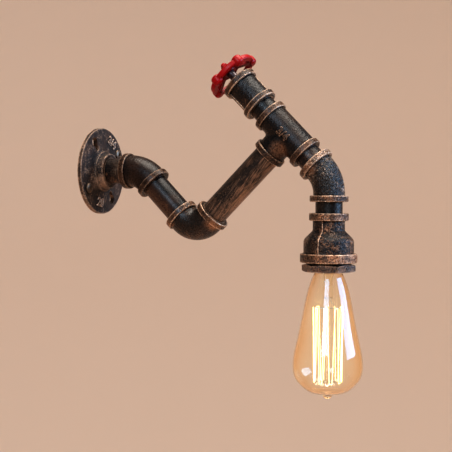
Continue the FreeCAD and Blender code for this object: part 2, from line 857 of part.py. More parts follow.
def glass_solid(inset):
    # the envelope's outline, or with the wall's thickness as the inset that of its inside
    neck = glass_neck_radius - inset
    mouth = Vector(neck, 0, glass_neck_start - inset)
    side = moved_in(glass_side, inset, Vector(0.42, 0, 1), Vector(0, 0, 1))
    base = moved_in(glass_base, inset, Vector(0, 0, 1), Vector(-1, 0, 0.1))
    collar = Vector(neck, 0, cap_rim)
    base_end = base.Vertexes[-1].Point
    edges = [Part.makeLine(Vector(0, 0, mouth.z), mouth), Part.makeLine(mouth, collar),
             Part.makeLine(collar, side.Vertexes[0].Point), side, base]
    if inset:
        floor = Vector(0, 0, base_end.z)
        edges.append(Part.makeLine(base_end, floor))
    else:
        floor = Vector(0, 0, glass_tip)
        waist = Vector(glass_tip_radius, 0, glass_tip_waist)
        mid_radius, mid_depth = dome_mid(glass_tip_radius, glass_tip_waist, glass_tip)
        edges.append(Part.makeLine(base_end, waist))
        edges.append(Part.Arc(waist, Vector(mid_radius, 0, mid_depth), floor).toShape())
    edges.append(Part.makeLine(floor, Vector(0, 0, mouth.z)))
    face = Part.Face(Part.Wire(edges))
    return face.revolve(Vector(0, 0, 0), Vector(0, 0, 1), 360)


def bulb_glass():
    return glass_solid(0).cut(glass_solid(glass_wall))


def bulb_cap():
    wall = cap_wall
    skirt_top = cap_rim - cap_skirt_length
    return turned((cap_radius - wall, cap_thread_top + 0.9), (contact_radius + 3, cap_thread_top),
                  (contact_radius + 3.6, cap_thread_top - 0.6), (cap_radius - 0.6, cap_thread_top),
                  (cap_radius, cap_thread_top + 0.8), (cap_radius, skirt_top),
                  (cap_skirt_radius, skirt_top + 0.5), (cap_skirt_radius, cap_rim),
                  (cap_radius - wall, cap_rim))


def cap_insulator():
    return turned((2.0, cap_thread_top + 1.5), (2.0, insulator_top), (contact_radius, insulator_top),
                  (contact_radius + 2.9, cap_thread_top - 0.05),
                  (contact_radius + 2.9, cap_thread_top + 1.5))


def cap_contact():
    rim = contact_top + 0.5
    radius = contact_radius - 0.8
    return turned((0, insulator_top), (contact_radius - 0.4, insulator_top), (radius, rim),
                  (dome_mid(radius, rim, contact_top), (0, contact_top)))


def bulb_stem():
    # a flared foot that closes the neck, then the press and the rod that carries the cage
    foot = glass_neck_radius - glass_wall
    base = bulb_stem_base
    flare_mid, flare_end = bulb_stem_flare
    wall = bulb_stem_radius - bulb_stem_bore
    outside = turned((0, base), (foot, base), (foot, base + bulb_stem_foot),
                     (flare_mid, flare_end), (bulb_stem_radius, bulb_stem_end - 0.8),
                     (bulb_stem_radius - 0.8, bulb_stem_end), (rod_radius, bulb_stem_end),
                     (rod_radius, rod_end - 2), (rod_button_radius, rod_end - 1.2),
                     (rod_button_radius, rod_end - 0.6), (rod_radius, rod_end), (0, rod_end))
    inner_mid = (flare_mid[0] - wall, flare_mid[1] + wall / 2)
    inside = turned((0, base - 1), (foot - wall, base - 1), (foot - wall, base),
                    (inner_mid, (bulb_stem_bore, flare_end[1])),
                    (bulb_stem_bore, flare_end[1] + 5), (0, flare_end[1] + 5))
    return outside.cut(inside)


def cage_corners():
    # the filament goes down and up in turn, with a short level loop over each hook
    pitch = 360 / (cage_strands + 1)
    corners = []
    for i in range(cage_strands + 1):
        is_top = i % 2 == 0
        radius = cage_top_radius if is_top else cage_bottom_radius
        depth = cage_top if is_top else cage_bottom
        if i > 0:
            corners.append(polar(radius, pitch * i - cage_loop_half_angle, depth))
        if i < cage_strands:
            corners.append(polar(radius, pitch * i + cage_loop_half_angle, depth))
    return corners


def filament():
    corners = cage_corners()
    ring = Part.Wire(Part.makeCircle(strand_radius, corners[0], corners[1] - corners[0]))
    return Part.makePolygon(corners).makePipeShell([ring], True, False, 1)


def filament_hook(index):
    # a thin level wire from the rod to just inside the filament's loop
    is_top = index % 2 == 0
    side = strand_radius + hook_radius
    depth = cage_top + side if is_top else cage_bottom - side
    reach = cage_top_radius if is_top else cage_bottom_radius
    angle = 360 / (cage_strands + 1) * index
    return Part.makeCylinder(hook_radius, reach + 1 - rod_radius,
                             polar(rod_radius, angle, depth), polar(1, angle))


def lead_wire(end, neighbours):
    angle = math.degrees(math.atan2(end.y, end.x))
    start = polar(lead_start_radius, angle, bulb_stem_end)
    wire = Part.makeCylinder(lead_radius, (end - start).Length, start, end - start)
    return wire.cut(neighbours)


def make_bulb():
    keep("bulb_glass", on_drop(bulb_glass()))
    keep("bulb_cap", on_drop(bulb_cap()))
    keep("cap_insulator", on_drop(cap_insulator()))
    keep("cap_contact", on_drop(cap_contact()))
    stem = bulb_stem()
    keep("bulb_stem", on_drop(stem))
    strand = filament()
    keep("filament", on_drop(strand))
    hooks = [filament_hook(i) for i in range(1, cage_strands)]
    keep("filament_hooks", on_drop(Part.makeCompound(hooks)))
    corners = cage_corners()
    leads = [lead_wire(end, [stem, strand]) for end in (corners[0], corners[-1])]
    keep("lead_wires", on_drop(Part.makeCompound(leads)))


make_arm()
make_valve()
make_lampholder()
make_wires()
make_bulb()

os.makedirs("parts", exist_ok=True)
for node_name, node_shape in nodes.items():
    node_shape.exportStep("parts/" + node_name + ".step")
print(len(nodes), "parts written")
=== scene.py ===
import math

import bmesh
import bpy
from mathutils import Matrix, Vector


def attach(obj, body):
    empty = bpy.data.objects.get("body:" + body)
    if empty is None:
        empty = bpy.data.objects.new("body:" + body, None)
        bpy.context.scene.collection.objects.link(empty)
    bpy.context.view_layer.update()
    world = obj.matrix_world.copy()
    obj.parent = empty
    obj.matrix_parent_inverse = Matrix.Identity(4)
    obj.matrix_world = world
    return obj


# Industrial pipe wall light. Metres, in the light's own frame: the wall is y = 0, the arm comes
# out along -y in the plane x = 0, and z is up.

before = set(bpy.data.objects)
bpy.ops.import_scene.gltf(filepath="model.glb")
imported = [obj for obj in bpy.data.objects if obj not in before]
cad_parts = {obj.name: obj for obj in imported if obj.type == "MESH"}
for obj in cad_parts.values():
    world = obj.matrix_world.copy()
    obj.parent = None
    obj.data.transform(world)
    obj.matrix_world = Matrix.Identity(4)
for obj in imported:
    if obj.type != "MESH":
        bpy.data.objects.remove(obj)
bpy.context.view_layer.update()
print("frame loaded,", len(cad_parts), "solid pieces")


# camera

camera = {
    "lens": 95.2,
    "sensor": 36,
    "nearest": 0.05,
    "farthest": 20,
    "turn": -65.80,             # degrees round the light, 0 looks straight at the wall
    "rise": 1.73,
    "roll": 0.34,
    "aim": (0.0, -0.130, 0.0),
    "distance": 1.12692,
    "slide": (-0.00616, 0.05190),   # how far the aim stands right of and above the middle
}


def setCamera():
    turn = math.radians(camera["turn"])
    rise = math.radians(camera["rise"])
    roll = math.radians(camera["roll"])
    back = Vector((math.sin(turn) * math.cos(rise), -math.cos(turn) * math.cos(rise),
                   math.sin(rise)))
    level = Vector((math.cos(turn), math.sin(turn), 0))
    above = back.cross(level)
    right = level * math.cos(roll) + above * math.sin(roll)
    up = above * math.cos(roll) - level * math.sin(roll)
    slideX, slideY = camera["slide"]
    place = Vector(camera["aim"]) - right * slideX - up * slideY + back * camera["distance"]
    data = bpy.data.cameras.new("camera")
    data.lens = camera["lens"]
    data.sensor_width = camera["sensor"]
    data.clip_start = camera["nearest"]
    data.clip_end = camera["farthest"]
    eye = bpy.data.objects.new("camera", data)
    eye.matrix_world = Matrix.Translation(place) @ Matrix((right, up, back)).transposed().to_4x4()
    bpy.context.scene.collection.objects.link(eye)
    bpy.context.scene.camera = eye


setCamera()
print("camera placed")


# the arm's route, as in the solid model

route = {
    "headings": {"wall": 0, "lower": -45, "riser": 45, "run": -45, "drop": -90, "valve": 135},
    "wallToFirstElbow": 0.0484,
    "firstToSecondElbow": 0.0823,
    "secondElbowToTee": 0.1301,
    "teeToFrontElbow": 0.0576,
}

# how far each fitting's faces are from its centre, and the radius of its body between the beads
fittings = {
    "wallElbow": {"reach": 0.0190, "body": 0.0153},
    "bottomElbow": {"reach": 0.0258, "body": 0.0149},
    "frontElbow": {"reach": 0.0212, "body": 0.0144},
    "tee": {"reach": 0.0268, "body": 0.0144},
    "teeBranch": {"reach": 0.0275, "body": 0.0138},
}


def direction(name):
    angle = math.radians(route["headings"][name])
    return Vector((0, -math.cos(angle), math.sin(angle)))


firstElbow = direction("wall") * route["wallToFirstElbow"]
secondElbow = firstElbow + direction("lower") * route["firstToSecondElbow"]
teeCentre = secondElbow + direction("riser") * route["secondElbowToTee"]
frontElbow = teeCentre + direction("run") * route["teeToFrontElbow"]
dropFace = frontElbow + direction("drop") * fittings["frontElbow"]["reach"]

# the side that faces out from the arm's plane, and the lower sides away from and to the wall
nearSide = Vector((-1, 0, 0))
outerSide = Vector((0, -0.7071, -0.7071))
innerSide = Vector((0, 0.7071, -0.7071))


# small helpers for shader nodes

def startMaterial(name):
    material = bpy.data.materials.new(name)
    material.use_nodes = True
    tree = material.node_tree
    tree.nodes.clear()
    output = tree.nodes.new("ShaderNodeOutputMaterial")
    shader = tree.nodes.new("ShaderNodeBsdfPrincipled")
    tree.links.new(shader.outputs[0], output.inputs["Surface"])
    return material, tree, shader


def feed(tree, socket, value):
    if isinstance(value, bpy.types.NodeSocket):
        tree.links.new(value, socket)
    else:
        socket.default_value = value


def mathNode(tree, kind, first, second, clamp=False):
    node = tree.nodes.new("ShaderNodeMath")
    node.operation = kind
    node.use_clamp = clamp
    feed(tree, node.inputs[0], first)
    feed(tree, node.inputs[1], second)
    return node.outputs[0]


def times(tree, first, second):
    return mathNode(tree, "MULTIPLY", first, second)


def plus(tree, first, second, clamp=False):
    return mathNode(tree, "ADD", first, second, clamp)


def larger(tree, first, second):
    return mathNode(tree, "MAXIMUM", first, second)


def oneMinus(tree, value):
    return mathNode(tree, "SUBTRACT", 1.0, value)


def mixed(tree, share, first, second):
    # the share is the first one's, and the second has the rest
    return plus(tree, times(tree, first, share), times(tree, second, 1 - share))


def spread(tree, value, low, high, bottom=0.0, top=1.0):
    # goes smoothly from bottom to top while the value goes from low to high
    node = tree.nodes.new("ShaderNodeMapRange")
    node.interpolation_type = "SMOOTHSTEP"
    feed(tree, node.inputs["Value"], value)
    node.inputs["From Min"].default_value = low
    node.inputs["From Max"].default_value = high
    node.inputs["To Min"].default_value = bottom
    node.inputs["To Max"].default_value = top
    return node.outputs[0]


def fade(tree, value, low, high):
    return spread(tree, value, low, high, 1.0, 0.0)


def between(tree, value, low, high, soft):
    # 1 from low to high, going out softly on either side
    return times(tree, spread(tree, value, low - soft, low), fade(tree, value, high, high + soft))


def breakUp(tree, share, spots, low, high, least):
    # thins a share where the spots are low, down to the least part of it
    return times(tree, share, spread(tree, spots, low, high, bottom=least))


def blendColours(tree, share, first, second):
    node = tree.nodes.new("ShaderNodeMix")
    node.data_type = "RGBA"
    feed(tree, node.inputs["Factor"], share)
    for socket, value in ((node.inputs[6], first), (node.inputs[7], second)):
        if isinstance(value, tuple):
            value = (*value, 1.0)
        feed(tree, socket, value)
    return node.outputs[2]


def objectPlace(tree, heading=None, stretch=1.0):
    # the piece's own coordinates, if wanted turned onto a heading and drawn out along it
    place = tree.nodes.new("ShaderNodeTexCoord").outputs["Object"]
    if heading is None:
        return place
    turn = tree.nodes.new("ShaderNodeMapping")
    turn.inputs["Rotation"].default_value = (math.radians(heading), 0, 0)
    tree.links.new(place, turn.inputs["Vector"])
    draw = tree.nodes.new("ShaderNodeMapping")
    draw.inputs["Scale"].default_value = (1, 1 / stretch, 1)
    tree.links.new(turn.outputs[0], draw.inputs["Vector"])
    return draw.outputs[0]


def noise(tree, place, grain, detail=4.0, rough=0.6, seed=0.0):
    # grain is the size of the spots in metres
    node = tree.nodes.new("ShaderNodeTexNoise")
    node.noise_dimensions = "4D"
    node.inputs["W"].default_value = seed
    node.inputs["Scale"].default_value = 1 / grain
    node.inputs["Detail"].default_value = detail
    node.inputs["Roughness"].default_value = rough
    tree.links.new(place, node.inputs["Vector"])
    return node.outputs["Fac"]


def nearness(tree, reach, inside):
    # how close other surfaces are: from inside a piece it finds its sharp outer edges, and from
    # outside it finds hollows
    node = tree.nodes.new("ShaderNodeAmbientOcclusion")
    node.inside = inside
    node.only_local = inside
    node.samples = 8
    node.inputs["Distance"].default_value = reach
    return oneMinus(tree, node.outputs["AO"])


def vectorNode(tree, kind, first, second=None, wanted="Vector"):
    node = tree.nodes.new("ShaderNodeVectorMath")
    node.operation = kind
    feed(tree, node.inputs[0], first)
    if kind == "SCALE":
        feed(tree, node.inputs["Scale"], second)
    elif second is not None:
        feed(tree, node.inputs[1], second)
    return node.outputs[wanted]


def facing(tree, way):
    # 1 where the surface faces that way, in the light's own frame
    normal = tree.nodes.new("ShaderNodeNewGeometry").outputs["Normal"]
    return vectorNode(tree, "DOT_PRODUCT", normal, Vector(way).normalized(), "Value")


def fromAxis(tree, place, centre, heading):
    # how far along an axis a point is, and how far out from it
    offset = vectorNode(tree, "SUBTRACT", place, centre)
    along = vectorNode(tree, "DOT_PRODUCT", offset, heading, "Value")
    inLine = vectorNode(tree, "SCALE", heading, along)
    away = vectorNode(tree, "SUBTRACT", offset, inLine)
    return along, vectorNode(tree, "LENGTH", away, wanted="Value")


def bump(tree, shader, height, strength, depth):
    node = tree.nodes.new("ShaderNodeBump")
    node.inputs["Strength"].default_value = strength
    node.inputs["Distance"].default_value = depth
    tree.links.new(height, node.inputs["Height"])
    tree.links.new(node.outputs[0], shader.inputs["Normal"])


# the noises in the iron's paint, each with how far its seed is from the look's own

ironNoises = {
    "clouds": {"detail": 3, "rough": 0.55, "seed": 0},
    "blotches": {"detail": 6, "rough": 0.70, "seed": 3},
    "specks": {"detail": 3, "rough": 0.60, "seed": 5},
    "lumps": {"detail": 5, "rough": 0.62, "seed": 7},
    "fine": {"detail": 2, "rough": 0.50, "seed": 9},
    "streaks": {"detail": 4, "rough": 0.65, "seed": 11},
    "flakes": {"detail": 3, "rough": 0.80, "seed": 13},
}


def ironNoise(tree, look, kind, place, grain):
    facts = ironNoises[kind]
    return noise(tree, place, grain, facts["detail"], facts["rough"],
                 look["seed"] + facts["seed"])


# copper on the fittings' raised beads

beadBrush = {
    "outside": 0.0006,          # how far before a bead it starts
    "within": 0.0002,           # how far into a bead it is full
    "rise": (0.0001, 0.0011),   # heights over the body, between which it comes in
    "rim": (0.0005, 0.0013),    # distances from a bead's ends, between which the rim goes out
}


def beadShares(tree, place, beads):
    # 1 on the raised beads, and 1 on their rims
    onBeads = 0.0
    onRims = 0.0
    outside = beadBrush["outside"]
    nearRim, farRim = beadBrush["rim"]
    for ring in beads:
        start, end = ring["from"], ring["to"]
        low, high = [ring["body"] + rise for rise in beadBrush["rise"]]
        along, out = fromAxis(tree, place, ring["centre"], ring["heading"])
        onBead = times(tree, spread(tree, along, start - outside, start + beadBrush["within"]),
                       spread(tree, out, low, high))
        onBead = times(tree, onBead, fade(tree, along, end, end + outside))
        atEnds = larger(tree, fade(tree, along, start + nearRim, start + farRim),
                        spread(tree, along, end - farRim, end - nearRim))
        onBeads = larger(tree, onBead, onBeads)
        onRims = larger(tree, times(tree, onBead, atEnds), onRims)
    return onBeads, onRims


# the reducer's casting ribs: on their wall side, a band of painted shadow with no bright edge,
# and less copper beyond it as painted shade

reducerRib = {
    "turn": 7,                  # degrees round from straight across
    # across the rib towards the wall, the band of painted shadow where edges stay dark
    "ribShadow": (0.0004, 0.0024),
    "soft": 0.0004,
    "darkness": 0.9,
    # beyond that, copper thins as painted shade, down to this part of it
    "wallSide": (0.0010, 0.0030),
    "shadedSideCopper": 0.35,
}


def acrossRib(tree, place):
    # how far a point is from the ribs' middle, towards the wall
    turn = math.radians(reducerRib["turn"])
    towardsWall = Vector((math.sin(turn), math.cos(turn), 0))
    offset = vectorNode(tree, "SUBTRACT", place, dropFace)
    return vectorNode(tree, "DOT_PRODUCT", offset, towardsWall, "Value")


# the riser's long copper streaks, on its lower and outer side

riserStreaks = {
    "slant": 7,                 # degrees off the pipe's own heading
    "stretch": 13,
    "width": 0.0011,
    "side": (-0.25, -0.60, -0.76),
    "sideRange": (-0.25, 0.90),
    "sideLean": 0.15,
    "fineShare": 0.6,           # the rest is clouds
    "range": (0.55, 0.72),
}


def streakShare(tree, look, shares):
    drawn = objectPlace(tree, look["heading"] + riserStreaks["slant"], riserStreaks["stretch"])
    fine = ironNoise(tree, look, "streaks", drawn, riserStreaks["width"])
    side = spread(tree, facing(tree, riserStreaks["side"]), *riserStreaks["sideRange"])
    streaks = plus(tree, mixed(tree, riserStreaks["fineShare"], fine, shares["clouds"]),
                   times(tree, side, riserStreaks["sideLean"]))
    return spread(tree, streaks, *riserStreaks["range"], top=look["streaks"])


# antiqued iron: near-black paint with copper brushed over beads, edges and undersides, partly
# painted bounce light on the undersides, and painted shade in hollows

castIron = {
    "dark": (0.0045, 0.0042, 0.0050),
    "brown": (0.040, 0.020, 0.012),
    "copper": (0.33, 0.168, 0.095),
    "worn": (0.94, 0.66, 0.47),
    # the colour of the painted shade in hollows
    "hollowShade": (0.002, 0.0015, 0.0015),
    "blotch": 0.009,
    "speck": 0.0012,
    "edge": 0.0018,             # how near another surface the brush no longer reached, and painted shade darkens the paint
    "edgeGain": 1.0,
    "wornGain": 0.9,
    "quietRing": None,          # radii on the flange with no bright edge between them
    "ribbed": False,
    "beads": (),
    "beadGain": 0.45,
    "rimGain": 0.42,
    "rubs": (),                 # places brushed with more copper, partly a painted highlight
    "crackle": 0.0,             # small bright flakes, partly worn metal and partly painted glints
    "crevice": 0.0045,          # how near another surface the brush no longer reached
    "patches": 0.55,            # higher leaves less copper on the flats
    "patchGain": 0.65,
    "under": 0.6,               # more brown and copper on what faces the warm side: brushed copper and painted warm bounce light
    "warmSide": (0, 0.35, -0.94),
    "heading": None,            # degrees of a pipe whose blotches are drawn out along it
    "stretch": 1.0,
    "streaks": 0.0,
    "specular": 0.40,
    "roughness": (0.20, 0.42),
    "bumps": 0.00055,
    "seed": 1.0,
}

# how the finish comes in: a pair is the range of a noise or share over which it does, and a
# third value is the part that is left below that range
brushwork = {
    "brown": (0.44, 0.68),
    "brownGain": 0.45,
    "warm": (-0.1, 0.9),
    "warmLean": 0.16,
    "patchRange": (-0.03, 0.12),
    "rubCore": 0.35,            # the part of a rub's radius with full copper
    "quietSoft": 0.001,
    "edges": (0.06, 0.30),
    "brightEdges": (0.14, 0.34),
    "crevices": (0.22, 0.60),
    "cloudSize": 2,             # in blotches
    "blotchShare": 0.5,         # of the mottle, the rest is specks
    "rimClouds": 0.6,           # of what breaks up the rims, the rest is specks
    "flake": 0.0019,
    "flakeShare": 0.6,          # the rest is clouds
    "flakes": (0.52, 0.66),
    "overRubs": (0.36, 0.60, 0.15),
    "overBeads": (0.44, 0.60, 0.10),
    "overEdges": (0.40, 0.58, 0.20),
    "overBrightEdges": (0.42, 0.56, 0.15),
    "overRims": (0.42, 0.58, 0.05),
    "gloss": (0.3, 0.7),
    "metal": 0.75,
    "lump": 0.0026,
    "fineSize": 0.5,            # in specks
    "fineBumps": 0.25,
    "bumpStrength": 0.9,
}


def wornEdges(tree, place, look):
    # 1 on sharp outer edges, but for those that stay dark, such as in the painted shadow beside
    # the reducer's rib
    edges = nearness(tree, look["edge"], inside=True)
    if look["quietRing"]:
        out = fromAxis(tree, place, Vector(), direction("wall"))[1]
        quiet = between(tree, out, *look["quietRing"], brushwork["quietSoft"])
        edges = times(tree, edges, oneMinus(tree, quiet))
    if look["ribbed"]:
        # painted shadow beside the reducer's rib: no bright edge there
        dark = between(tree, acrossRib(tree, place), *reducerRib["ribShadow"], reducerRib["soft"])
        edges = times(tree, edges, oneMinus(tree, times(tree, dark, reducerRib["darkness"])))
    return edges


def ironShares(tree, place, look):
    # the noises and the places that paint and copper follow
    drawn = place
    if look["heading"] is not None:
        drawn = objectPlace(tree, look["heading"], look["stretch"])
    clouds = ironNoise(tree, look, "clouds", place, look["blotch"] * brushwork["cloudSize"])
    blotches = ironNoise(tree, look, "blotches", drawn, look["blotch"])
    specks = ironNoise(tree, look, "specks", place, look["speck"])
    onBeads, onRims = beadShares(tree, place, look["beads"])
    return {
        "clouds": clouds,
        "specks": specks,
        "mottle": mixed(tree, brushwork["blotchShare"], blotches, specks),
        # brushed copper and painted warm bounce light on the warm side
        "warm": spread(tree, facing(tree, look["warmSide"]), *brushwork["warm"],
                       top=look["under"]),
        "edges": wornEdges(tree, place, look),
        "beads": onBeads,
        "rims": onRims,
    }


def copperShare(tree, place, look, shares):
    # patches on the flats, streaks, rubbed places, beads and edges
    mottle = shares["mottle"]
    toned = plus(tree, mottle, times(tree, shares["warm"], brushwork["warmLean"]))
    low, high = [look["patches"] + shift for shift in brushwork["patchRange"]]
    copper = spread(tree, toned, low, high, top=look["patchGain"])
    if look["streaks"]:
        copper = larger(tree, copper, streakShare(tree, look, shares))
    # brushed copper that is partly a painted highlight
    for spot in look["rubs"]:
        away = vectorNode(tree, "DISTANCE", place, spot["at"], "Value")
        near = spread(tree, away, spot["radius"] * brushwork["rubCore"], spot["radius"],
                      spot["gain"], 0.0)
        copper = larger(tree, copper, breakUp(tree, near, mottle, *brushwork["overRubs"]))
    beads = times(tree, shares["beads"], look["beadGain"])
    copper = larger(tree, copper, breakUp(tree, beads, mottle, *brushwork["overBeads"]))
    # painted shade on the rib's wall side: less copper there
    if look["ribbed"]:
        wallSide = spread(tree, acrossRib(tree, place), *reducerRib["wallSide"])
        copper = times(tree, copper, spread(tree, wallSide, 0.0, 1.0, 1.0,
                                            reducerRib["shadedSideCopper"]))
    edges = spread(tree, shares["edges"], *brushwork["edges"], top=look["edgeGain"])
    return larger(tree, copper, breakUp(tree, edges, mottle, *brushwork["overEdges"]))


def wornShare(tree, place, look, shares):
    # bright metal on the sharpest edges, on the beads' rims and in small flakes; the flakes are
    # partly painted glints
    edges = spread(tree, shares["edges"], *brushwork["brightEdges"], top=look["wornGain"])
    worn = breakUp(tree, edges, shares["mottle"], *brushwork["overBrightEdges"])
    rims = times(tree, shares["rims"], look["rimGain"])
    spots = mixed(tree, brushwork["rimClouds"], shares["clouds"], shares["specks"])
    worn = larger(tree, worn, breakUp(tree, rims, spots, *brushwork["overRims"]))
    # flakes: partly worn metal, partly painted glints
    if look["crackle"]:
        flakes = ironNoise(tree, look, "flakes", place, brushwork["flake"])
        flakes = mixed(tree, brushwork["flakeShare"], flakes, shares["clouds"])
        worn = larger(tree, worn, spread(tree, flakes, *brushwork["flakes"],
                                         top=look["crackle"]))
    return worn


def agedIron(name, changes):
    look = {**castIron, **changes}
    material, tree, shader = startMaterial(name)
    place = objectPlace(tree)
    shares = ironShares(tree, place, look)
    # painted shade in hollows near other surfaces, where the brushed copper and bright metal also
    # stay off
    shadeAndUnbrushed = spread(tree, nearness(tree, look["crevice"], inside=False), *brushwork["crevices"])
    reached = oneMinus(tree, shadeAndUnbrushed)
    brown = spread(tree, shares["clouds"], *brushwork["brown"], top=brushwork["brownGain"])
    # the warm side's brown is partly painted bounce light
    brown = plus(tree, brown, shares["warm"], clamp=True)
    copper = times(tree, copperShare(tree, place, look, shares), reached)
    worn = times(tree, wornShare(tree, place, look, shares), reached)
    colour = look["dark"]
    for share, paint in ((brown, "brown"), (shadeAndUnbrushed, "hollowShade"), (copper, "copper"), (worn, "worn")):
        colour = blendColours(tree, share, colour, look[paint])
    tree.links.new(colour, shader.inputs["Base Color"])
    tree.links.new(spread(tree, shares["specks"], *brushwork["gloss"], *look["roughness"]),
                   shader.inputs["Roughness"])
    tree.links.new(times(tree, copper, brushwork["metal"]), shader.inputs["Metallic"])
    shader.inputs["Specular IOR Level"].default_value = look["specular"]
    lumps = ironNoise(tree, look, "lumps", place, brushwork["lump"])
    fine = ironNoise(tree, look, "fine", place, look["speck"] * brushwork["fineSize"])
    height = plus(tree, lumps, times(tree, fine, brushwork["fineBumps"]))
    bump(tree, shader, height, brushwork["bumpStrength"], look["bumps"])
    return material


# the wheel's red enamel

redEnamel = {
    "red": (0.315, 0.0025, 0.005),
    "deep": (0.060, 0.0006, 0.0012),
    "cloud": 0.009,
    "clouds": (0.35, 0.75),
    "cloudGain": 0.35,
    # how near another surface the painted shade in the hollows reaches
    "hollow": 0.012,
    "enamelShadeGain": 0.8,
    "roughness": 0.40,
    "specular": 0.26,
    "coat": 0.06,
    "coatRoughness": 0.12,
    "pit": 0.0013,
    "pitStrength": 0.5,
    "pitDepth": 0.00012,
}


def enamel(name, look):
    material, tree, shader = startMaterial(name)
    place = objectPlace(tree)
    clouds = spread(tree, noise(tree, place, look["cloud"]), *look["clouds"],
                    top=look["cloudGain"])
    # deep red in clouds of tone, and as painted shade in hollows
    hollows = times(tree, nearness(tree, look["hollow"], inside=False), look["enamelShadeGain"])
    deep = plus(tree, clouds, hollows, clamp=True)
    tree.links.new(blendColours(tree, deep, look["red"], look["deep"]),
                   shader.inputs["Base Color"])
    shader.inputs["Roughness"].default_value = look["roughness"]
    shader.inputs["Specular IOR Level"].default_value = look["specular"]
    shader.inputs["Coat Weight"].default_value = look["coat"]
    shader.inputs["Coat Roughness"].default_value = look["coatRoughness"]
    bump(tree, shader, noise(tree, place, look["pit"], detail=3), look["pitStrength"],
         look["pitDepth"])
    return material


# bare metals and smooth coats of the small pieces

bareMetal = {
    "roughness": 0.32,
    "scuffed": 0.15,            # how much rougher its marks are
    "wear": 0.25,
    "mark": 0.0015,
    "marks": (0.35, 0.7),
    "gloss": (0.3, 0.7),
    "bumpStrength": 0.3,
    "bumpDepth": 0.00005,
}

smoothCoat = {
    "shade": 0.8,
    "mark": 0.002,
    "marks": (0.35, 0.75),
    "bumpStrength": 0.4,
    "bumpDepth": 0.00005,
}


def plainMetal(name, changes):
    look = {**bareMetal, **changes}
    material, tree, shader = startMaterial(name)
    marks = noise(tree, objectPlace(tree), look["mark"], detail=5, rough=0.65)
    dull = tuple(part * (1 - look["wear"]) for part in look["colour"])
    tree.links.new(blendColours(tree, spread(tree, marks, *look["marks"]), look["colour"], dull),
                   shader.inputs["Base Color"])
    tree.links.new(spread(tree, marks, *look["gloss"], look["roughness"],
                          look["roughness"] + look["scuffed"]), shader.inputs["Roughness"])
    shader.inputs["Metallic"].default_value = 1.0
    bump(tree, shader, marks, look["bumpStrength"], look["bumpDepth"])
    return material


def plainCoat(name, changes):
    look = {**smoothCoat, **changes}
    material, tree, shader = startMaterial(name)
    marks = noise(tree, objectPlace(tree), look["mark"])
    shade = tuple(part * look["shade"] for part in look["colour"])
    tree.links.new(blendColours(tree, spread(tree, marks, *look["marks"]), look["colour"], shade),
                   shader.inputs["Base Color"])
    shader.inputs["Roughness"].default_value = look["roughness"]
    bump(tree, shader, marks, look["bumpStrength"], look["bumpDepth"])
    return material


# the bulb's amber glass, with a painted glow where the filament's light would be caught in it

bulbGlass = {
    "tint": (1.0, 0.965, 0.89),
    "rim": (0.97, 0.66, 0.36),
    "outline": (0.50, 0.30, 0.19),
    "blend": 0.45,
    "rimSlant": (0.05, 0.80),
    "rimGain": 0.75,
    "outlineSlant": (0.80, 0.97),
    "outlineGain": 0.8,
    "ripple": 0.03,
    "ripples": (0.4, 0.7),
    "rippleGain": 0.12,
    "rippleStrength": 0.15,
    "rippleDepth": 0.0002,
    "roughness": 0.0,
    "ior": 1.40,
    "shine": 0.26,
    "shineTint": (0.55, 0.76, 1.0),
    "glow": (1.0, 0.74, 0.40),
    "glowStrength": 0.020,
    "glowRises": (0.060, 0.112),    # depths below the front elbow
    "glowFades": (0.146, 0.186),
}


def glass(name, changes):
    look = {**bulbGlass, **changes}
    material, tree, shader = startMaterial(name)
    ripple = noise(tree, objectPlace(tree), look["ripple"], detail=2, rough=0.5)
    layer = tree.nodes.new("ShaderNodeLayerWeight")
    layer.inputs["Blend"].default_value = look["blend"]
    slant = layer.outputs["Facing"]
    rim = plus(tree, spread(tree, slant, *look["rimSlant"], top=look["rimGain"]),
               spread(tree, ripple, *look["ripples"], top=look["rippleGain"]), clamp=True)
    # a darker line along the glass's outline: painted shade standing for darker surroundings seen
    # through its edge
    line = spread(tree, slant, *look["outlineSlant"], top=look["outlineGain"])
    colour = blendColours(tree, rim, look["tint"], look["rim"])
    tree.links.new(blendColours(tree, line, colour, look["outline"]),
                   shader.inputs["Base Color"])
    shader.inputs["Roughness"].default_value = look["roughness"]
    shader.inputs["IOR"].default_value = look["ior"]
    shader.inputs["Specular IOR Level"].default_value = look["shine"]
    shader.inputs["Specular Tint"].default_value = (*look["shineTint"], 1)
    shader.inputs["Transmission Weight"].default_value = 1.0
    # painted glow: the glass gives off the filament's light between these depths
    if look["glowStrength"]:
        depth = fromAxis(tree, objectPlace(tree), dropFace, direction("drop"))[0]
        lit = times(tree, spread(tree, depth, *look["glowRises"]),
                    fade(tree, depth, *look["glowFades"]))
        shader.inputs["Emission Color"].default_value = (*look["glow"], 1)
        tree.links.new(times(tree, lit, look["glowStrength"]), shader.inputs["Emission Strength"])
    bump(tree, shader, ripple, look["rippleStrength"], look["rippleDepth"])
    return material


filamentGlow = {
    "metal": (0.9, 0.6, 0.3),
    "glow": (1.0, 0.70, 0.30),
    "hotter": 1.2,
    "strength": 3.0,
    "stretch": 0.004,           # how long its hotter and cooler stretches are
}


def glowing(name, look):
    material, tree, shader = startMaterial(name)
    along = noise(tree, objectPlace(tree), look["stretch"], detail=3, rough=0.5)
    hot = tuple(min(1.0, part * look["hotter"]) for part in look["glow"])
    shader.inputs["Base Color"].default_value = (*look["metal"], 1)
    tree.links.new(blendColours(tree, along, look["glow"], hot), shader.inputs["Emission Color"])
    shader.inputs["Emission Strength"].default_value = look["strength"]
    return material


# where each fitting's raised beads are along its axes

endBeadWidth = 0.0058


def bead(centre, heading, start, end, body):
    return {"centre": centre, "heading": heading, "from": start, "to": end, "body": body}


